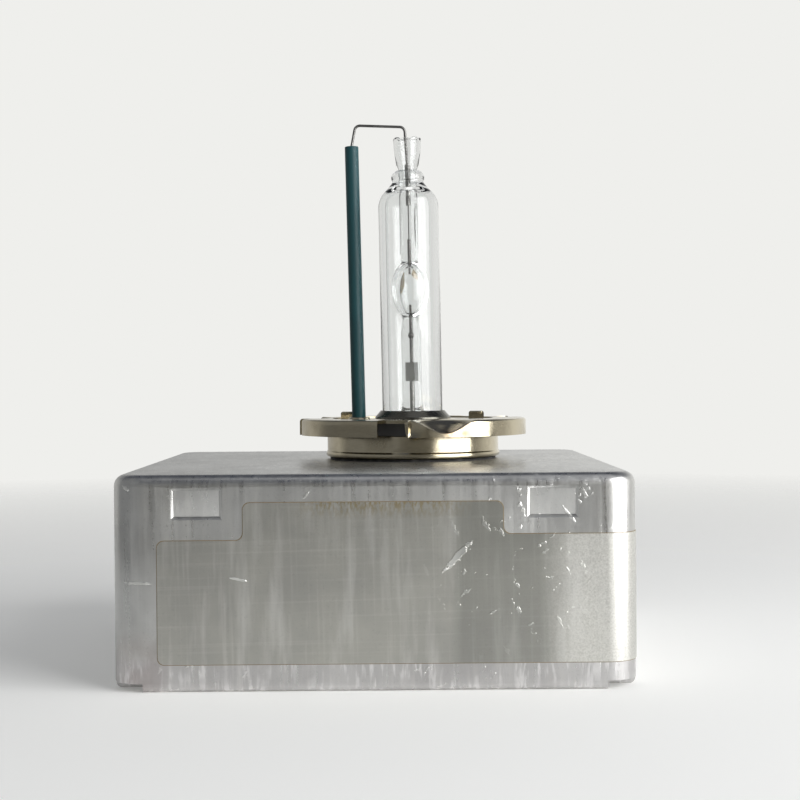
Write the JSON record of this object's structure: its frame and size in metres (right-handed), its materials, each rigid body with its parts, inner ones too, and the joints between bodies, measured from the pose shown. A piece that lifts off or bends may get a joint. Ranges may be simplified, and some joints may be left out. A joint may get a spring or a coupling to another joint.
{
  "type": "gas-discharge headlight bulb",
  "caption": "Quartz discharge burner on a bayonet cap ring, standing on a square aluminium can that holds its igniter and ballast.",
  "frame": {"origin": "on the lamp axis, in the flat top face of the cap ring", "axes": "+Z along the lamp axis towards the tip, -Y towards the labelled side, +X to the right when facing that side"},
  "size_m": [0.0661, 0.0661, 0.077],
  "materials": {
    "jacket_quartz": "clear fire-polished",
    "vessel_quartz": "clear fire-polished",
    "tungsten": "drawn",
    "molybdenum": "drawn",
    "halide_salt": "crystalline",
    "nickel_wire": "drawn",
    "teal_ceramic": "fired matte",
    "nickel_plate": "plated satin",
    "collar_steel": "turned",
    "can_aluminium": "drawn and scratched",
    "plate_aluminium": "rolled",
    "foil_label": "cross-brushed foil",
    "black_seal": "moulded",
    "red_seal": "moulded",
    "grey_pad": "soft",
    "dark_plastic": "moulded",
    "grey_plastic": "moulded",
    "ivory_plastic": "moulded",
    "brown_plastic": "moulded",
    "insulating_film": "polyimide film",
    "contact_brass": "stamped and plated",
    "board_laminate": "solder mask",
    "ferrite": "sintered",
    "enamelled_copper": "enamelled wire",
    "white_ceramic": "sintered",
    "film_case": "dipped epoxy",
    "yellow_case": "moulded box",
    "capacitor_sleeve": "shrink sleeve on aluminium",
    "chip_epoxy": "moulded epoxy",
    "chip_ceramic": "sintered"
  },
  "bodies": {
    "root": {"outer_bulb": "jacket_quartz", "discharge_vessel": "vessel_quartz", "upper_electrode": "tungsten", "lower_electrode": "tungsten", "upper_foil": "molybdenum", "lower_foil": "molybdenum", "upper_lead_wire": "molybdenum", "lower_lead_wire": "molybdenum", "halide_deposit": "halide_salt", "return_wire": "nickel_wire", "wire_joint_sleeve": "nickel_wire", "insulating_tube": "teal_ceramic", "cap_ring": "nickel_plate", "base_cup": "nickel_plate", "cup_seal": "black_seal", "burner_collar": "collar_steel", "burner_clamp_plate": "nickel_plate", "burner_socket": "grey_plastic", "hv_contact": "contact_brass", "return_terminal": "contact_brass", "housing_can": "can_aluminium", "base_plate": "plate_aluminium", "base_gasket": "red_seal", "rating_label": "foil_label", "connector_body": "dark_plastic", "connector_pins": "contact_brass", "connector_seal": "red_seal", "insulating_sheet": "insulating_film", "board_carrier": "ivory_plastic", "thermal_pad": "grey_pad", "ballast_board": "board_laminate", "igniter_tray": "brown_plastic", "igniter_core": "ferrite", "igniter_bobbin": "ivory_plastic", "igniter_secondary": "enamelled_copper", "igniter_primary": "enamelled_copper", "spark_gap": "white_ceramic", "ignition_capacitor": "film_case", "converter_core": "ferrite", "converter_bobbin": "dark_plastic", "converter_winding": "enamelled_copper", "choke_core": "ferrite", "choke_winding": "enamelled_copper", "input_capacitor": "capacitor_sleeve", "output_capacitor": "yellow_case", "power_transistors": "chip_epoxy", "controller_chip": "chip_epoxy", "driver_chip": "chip_epoxy", "chip_capacitors": "chip_ceramic", "chip_resistors": "chip_epoxy", "rectifier_diodes": "chip_epoxy", "ground_spring": "contact_brass"}
  },
  "joints": []
}
